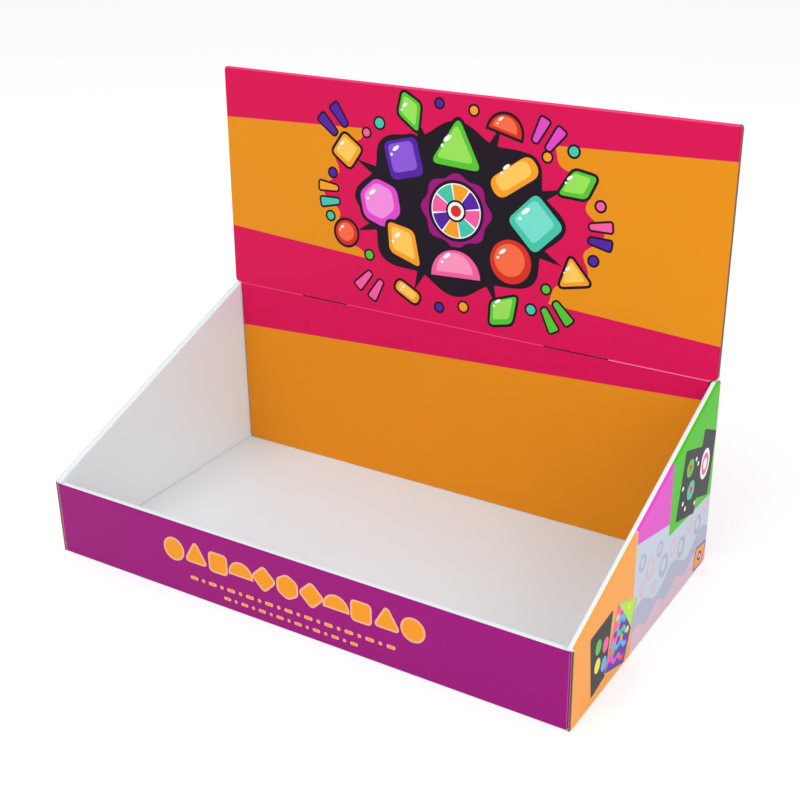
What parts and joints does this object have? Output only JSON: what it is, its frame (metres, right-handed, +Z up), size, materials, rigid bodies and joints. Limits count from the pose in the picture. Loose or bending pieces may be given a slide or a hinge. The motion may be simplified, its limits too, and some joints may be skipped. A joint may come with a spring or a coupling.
{
  "type": "counter display box",
  "caption": "Open counter display tray of folded corrugated board with rolled-over walls, sloped sides and a tall double header that folds at a scored crease.",
  "frame": {"origin": "middle of the tray's footprint, on the surface that it stands on", "axes": "+X along the width to the right as a customer sees it, +Y from the front wall to the header, +Z up"},
  "size_m": [0.4, 0.22, 0.3079],
  "materials": {
    "tray_board": "white coated corrugated board, satin",
    "liner_board": "printed corrugated board, satin film",
    "header_board": "printed corrugated board, satin film",
    "cut_edge": "raw cut edge of fluted board",
    "tray_print": "purple print under satin film",
    "side_print": "print in fields of colour under satin film",
    "header_print": "pink print under satin film",
    "liner_print": "orange print under satin film",
    "motif_print": "printed shapes under satin film"
  },
  "bodies": {
    "tray_body": {"tray": "tray_board", "header_liner": "liner_board"},
    "header_flap": {"header_panel": "header_board"}
  },
  "joints": [
    {"name": "header_fold", "type": "hinge", "parent": "tray_body", "child": "header_flap", "pos_m": [0, 0.104, 0.1385], "axis": [1, 0, 0], "range_deg": [0, 111.5]}
  ]
}
